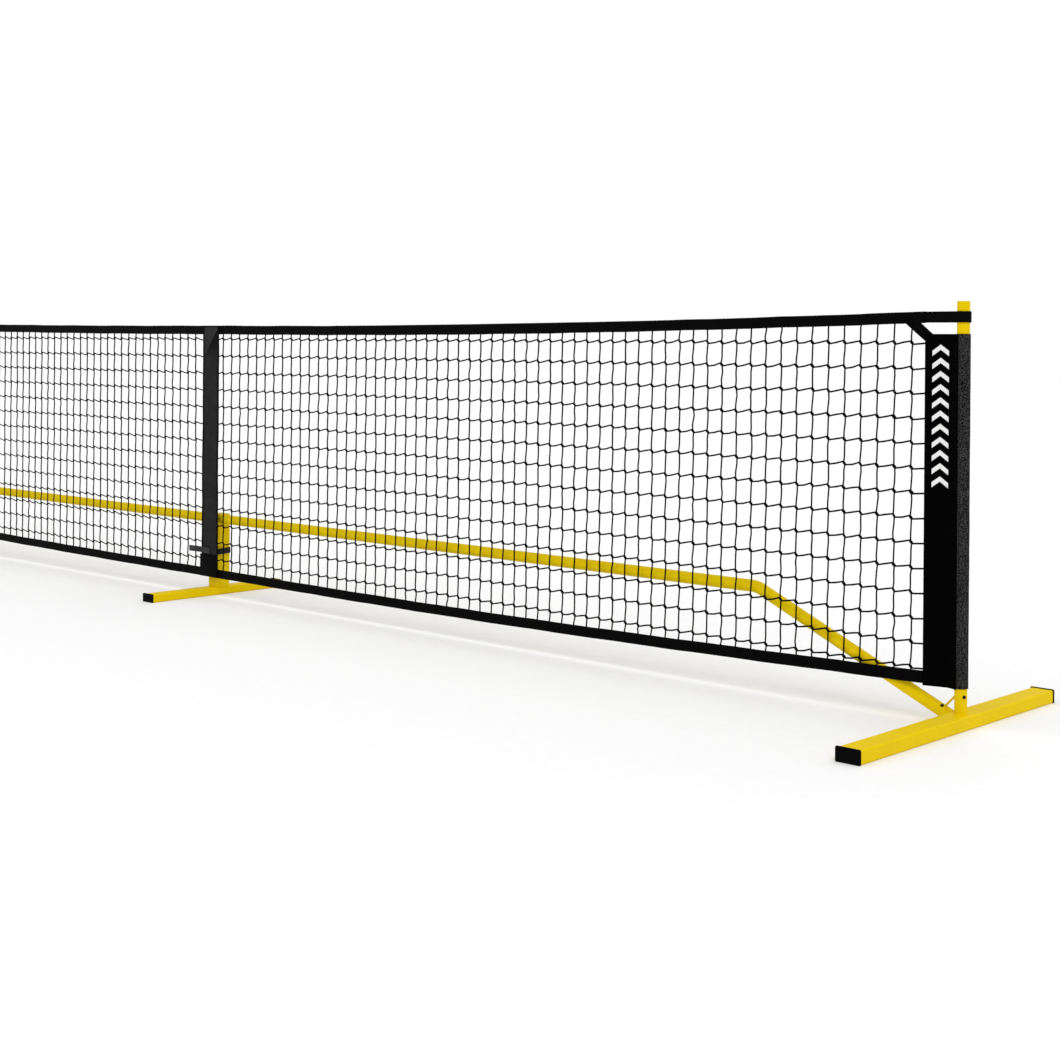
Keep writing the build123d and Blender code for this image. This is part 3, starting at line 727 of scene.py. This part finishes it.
def corner_web(side, s):
    """A strip of webbing that slants from the sleeve's top corner up into the top tape."""
    low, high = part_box(f"corner_web_{side}")
    inner_x, outer_x = (low.x, high.x) if s > 0 else (high.x, low.x)
    under = float(top_z(inner_x)) - TOP_HALF
    foot_left = np.array((s * SLEEVE_EDGE, SLEEVE_TOP - 0.016))
    foot_right = np.array((outer_x, SLEEVE_TOP - 0.001))
    cross_left, cross_right = np.array((inner_x, under)), np.array((inner_x + s * WEB_ACROSS, under))
    head_left, head_right = (
        cross + (cross - foot) * INTO_TAPE / (cross[1] - foot[1])
        for cross, foot in ((cross_left, foot_left), (cross_right, foot_right))
    )
    rings = []
    for t in np.linspace(0, 1, 14):
        left, right = head_left + (foot_left - head_left) * t, head_right + (foot_right - head_right) * t
        sag = 0.0006 * math.sin(t * math.pi)
        ring = []
        for off, shares in ((-WEB_HALF, np.linspace(0, 1, 8)), (WEB_HALF, np.linspace(1, 0, 8))):
            line = [left + (right - left) * u for u in shares]
            ring += [(x, NET_Y + off - sag, z) for x, z in line]
        rings.append(ring)
    web = loft(f"corner_webbing_{side}", rings if s < 0 else [r[::-1] for r in rings], WEBBING)
    place(web, "net", "webbing", f"corner_web_{side}")


def top_strap(side, s):
    """The loop of webbing that ties the top tape's end to the post."""
    low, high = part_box(f"top_strap_{side}")
    radius, tip_r = POST_R + 0.0019, 0.0022
    start_x, middle_z = s * (TAPE_END + 0.0034), (low.z + high.z) / 2
    plan = [
        (s * (POST_X + radius * math.cos(t)), NET_Y + radius * math.sin(t))
        for t in np.radians(np.linspace(-98, 98, 25))
    ]
    plan += [
        (start_x - s * tip_r * math.cos(t), NET_Y - tip_r * math.sin(t))
        for t in np.radians(np.linspace(-80, 80, 7))
    ]
    path = resample([(x, y, middle_z) for x, y in plan], 0.004, loop=True)
    section = rounded(0.0022, high.z - low.z - 0.0004, 0.0009)
    strap = loft(f"top_strap_webbing_{side}", strap_rings(path, section, True), WEBBING, loop=True)
    place(strap, "net", "webbing", f"top_strap_{side}")
    rows = []
    for x in (0.012, 0.016, 0.040, 0.044):
        seam_x = start_x + s * x
        for face in (-1, 1):
            y = NET_Y + face * (0.0033 + 0.011 * x / 0.09)
            rows.append(([(seam_x, y, low.z + 0.003), (seam_x, y, high.z - 0.003)], (0, face, 0)))
    stitching(f"top_strap_stitching_{side}", rows, 0.0035)


for side, s in SIDES:
    corner_web(side, s)
    top_strap(side, s)


# ---- centre strap and its tie -------------------------------------------------------
strap_low, strap_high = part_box("centre_strap")
STRAP_WIDE, STRAP_Y = strap_high.x - strap_low.x, (strap_low.y + strap_high.y) / 2
STRAP_HEIGHTS = np.linspace(strap_low.z, strap_high.z, 60)


def level_ring(section, x, y, z):
    """A section laid level, round a place."""
    return np.column_stack([x + section[:, 0], y + section[:, 1], np.full(len(section), z)])


def strap_y(x, z):
    """The centre strap's middle, which bows and ripples a little."""
    return STRAP_Y + 0.0007 * float(ripple(z, 41, 0.5)) + 0.0008 * np.cos(x * 60) * float(ripple(z, 43, 0.27))


def centre_strap():
    """The strap itself, from the top tape down to the bottom tape."""
    section = rounded(STRAP_WIDE - 0.004, 0.0015, 0.0006)
    rings = [level_ring(section, 0, strap_y(section[:, 0], z), z) for z in STRAP_HEIGHTS]
    piece = loft("centre_strap_webbing", rings, CENTRE)
    place(piece, "net", "centre_webbing", "centre_strap")


def centre_flap():
    """The doubled end at the strap's foot, a little wider than the strap and in front of it."""
    section = rounded(STRAP_WIDE + 0.006, 0.0016, 0.0006)
    heights = np.linspace(strap_low.z + 0.0005, FLAP_TOP, 12)
    rings = [level_ring(section, -0.002, strap_low.y - 0.0012, z) for z in heights]
    place(loft("centre_strap_flap", rings, BINDING), "net", "centre_webbing")


def centre_edge(name, edge):
    """Binding over one long edge of the strap."""
    section = rounded(0.008, 0.0027, 0.0011)
    x = edge * (strap_high.x - 0.004)
    rings = []
    for z in STRAP_HEIGHTS:
        wave = 0.0004 * float(ripple(z, 47 + edge, 0.09))
        rings.append(level_ring(section, x + wave, strap_y(x, z), z))
    place(loft(f"centre_strap_edge_{name}", rings, BINDING), "net", "net_binding")


centre_strap()
centre_flap()
for side, s in SIDES:
    centre_edge(side, s)

centre_low, centre_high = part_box("centre_post")
tie_low, tie_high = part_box("tie_strap")
TIE_Z, TIE_GAP = (tie_low.z + tie_high.z) / 2, 0.0015
TIE_SECTION = rounded(0.0014, tie_high.z - tie_low.z, 0.0006)
front_half, back_half = STRAP_WIDE / 2 + TIE_GAP, centre_high.x + TIE_GAP
front_y, back_y = strap_low.y - 0.0014, centre_high.y + TIE_GAP


def tie_loop():
    """The tie's loop round the centre strap and the centre post, with its corners cut short."""
    corners = [(-front_half, front_y), (front_half, front_y), (back_half, back_y), (-back_half, back_y)]
    corners = [Vector(corner) for corner in corners]
    path = []
    for k, corner in enumerate(corners):
        before = (corners[k - 1] - corner).normalized() * 0.004
        after = (corners[(k + 1) % 4] - corner).normalized() * 0.004
        for t in (0, 0.25, 0.5, 0.75, 1):
            x, y = corner + before * (1 - t) ** 2 + after * t ** 2
            path.append((x, y, TIE_Z))
    rings = strap_rings(resample(path, 0.004, loop=True), TIE_SECTION, True)
    piece = loft("tie_strap_loop", rings, TIE_LOOP, loop=True)
    place(piece, "net", "webbing", "tie_strap")
    return piece


def tie_tail():
    """The tie's loose end, over the strap's front and out past its left edge."""
    over_y, bend_x, bend_y = front_y - 0.0016, -front_half - 0.01, front_y - 0.0012
    plan = [(front_half - 0.040, over_y), (-front_half + 0.012, over_y), (bend_x, bend_y)]
    plan += [(bend_x - 0.055 * t, bend_y + 0.002 * t * t) for t in (0.3, 0.6, 1.0)]
    path = resample([(x, y, TIE_Z) for x, y in plan], 0.004)
    path[:, 2] += 0.0016 * np.sin(np.linspace(0, 3, len(path)))
    piece = loft("tie_strap_tail", strap_rings(path, TIE_SECTION), TIE)
    place(piece, "net", "webbing")
    return piece


for piece in (tie_loop(), tie_tail()):
    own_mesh(piece)


# ---- welds --------------------------------------------------------------------------
def weld(name, path, radius, loop=False):
    """A bead of weld with the small ripples that a pass leaves."""
    path = resample(path, 0.0012, loop)
    ripples = radius * (1 + 0.16 * np.abs(np.sin(np.arange(len(path)) * 0.9)))
    if not loop:
        ripples[0] = ripples[-1] = radius * 0.4
    place(loft(name, tube_rings(path, ripples, 8, loop), YELLOW, loop), "frame", "yellow_powder_coat")


foot_low, foot_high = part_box("end_foot_right")
socket_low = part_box("brace_socket_right")[0]
bar_low, bar_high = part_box("inner_bar_right")
SOCKET_R = (bar_high.z - bar_low.z) / 2
SOCKET_Y = socket_low.y + SOCKET_R
SOCKET_Z, SOCKET_RISE = 0.0145, 0.0135      # middle of the socket's end, and the weld's reach up and down
WELD_R, PROUD = 0.0018, 0.0004              # of a bead, and how far its middle stands off the steel
for side, s in SIDES:
    ring_r, ring_z = POST_R + 0.0006, foot_high.z + 0.0003
    ring = [
        (s * POST_X + ring_r * math.cos(t), NET_Y + ring_r * math.sin(t), ring_z)
        for t in np.linspace(0, 2 * math.pi, 60, endpoint=False)
    ]
    weld(f"post_weld_{side}", ring, 0.0019, loop=True)
    for face, name in ((-1, "front"), (1, "rear")):
        reach = face * (SOCKET_R + PROUD)
        path = [
            (s * (foot_low.x - PROUD), SOCKET_Y + reach * math.cos(t), SOCKET_Z + SOCKET_RISE * math.sin(t))
            for t in np.radians(np.linspace(-48, 90, 26))
        ]
        weld(f"brace_weld_{name}_{side}", path, WELD_R)
centre_half = 0.021
for name, y in (("front", centre_low.y - PROUD), ("rear", centre_high.y + PROUD)):
    z = centre_low.z + PROUD
    weld(f"centre_weld_{name}", [(-centre_half, y, z), (centre_half, y, z)], WELD_R)


# ---- finishes of the parts that the frame already shapes ----------------------------
FINISHES = {
    "foot_cap": PLASTIC, "plug": PLASTIC, "spring": SPRING, "button": BUTTON, "top_cord": HEM_CORD,
}
for name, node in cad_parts.items():
    finish = next((m for key, m in FINISHES.items() if key in name), YELLOW)
    for k in range(len(node.material_slots)):
        node.material_slots[k].material = finish

# ---- floor and light ----------------------------------------------------------------
floor_finish = Finish("floor")
speckle = floor_finish.noise(40.0, 4.0)
floor_finish.colour(speckle, (0.3, 0.91), (0.7, 0.93))
floor_finish.roughness(speckle, 0.75, 0.85)
FLOOR_HALF = 60.0
floor_corners = [(x * FLOOR_HALF, y * FLOOR_HALF, 0) for x, y in ((-1, -1), (1, -1), (1, 1), (-1, 1))]
floor = mesh_object("floor", floor_corners, [(0, 1, 2, 3)], floor_finish.material, smooth=False)


def sun(name, azimuth, elevation, spread, strength):
    """A soft light from far away: azimuth is where it shines from, turned from the front towards +X."""
    a, e = math.radians(azimuth), math.radians(elevation)
    to_light = Vector((math.sin(a) * math.cos(e), -math.cos(a) * math.cos(e), math.sin(e)))
    made = bpy.data.objects.new(name, bpy.data.lights.new(name, "SUN"))
    made.data.angle = math.radians(spread)
    made.data.energy = strength
    made.rotation_euler = to_light.to_track_quat("Z", "Y").to_euler()
    scene.collection.objects.link(made)


sun("key", 62, 50, 50, 1.05)
sun("fill", -40, 45, 60, 0.55)
sun("rear", 180, 55, 60, 0.55)

LIT_BY_SKY, SEEN_SKY = 0.6, 1.0
world = bpy.data.worlds.new("studio")
scene.world = world
world.use_nodes = True
sky = world.node_tree.nodes["Background"]
sky.inputs["Color"].default_value = (1, 1, 1, 1)
path = world.node_tree.nodes.new("ShaderNodeLightPath")
blend = world.node_tree.nodes.new("ShaderNodeMapRange")
blend.inputs["To Min"].default_value = LIT_BY_SKY
blend.inputs["To Max"].default_value = SEEN_SKY
world.node_tree.links.new(path.outputs["Is Camera Ray"], blend.inputs["Value"])
world.node_tree.links.new(blend.outputs[0], sky.inputs["Strength"])
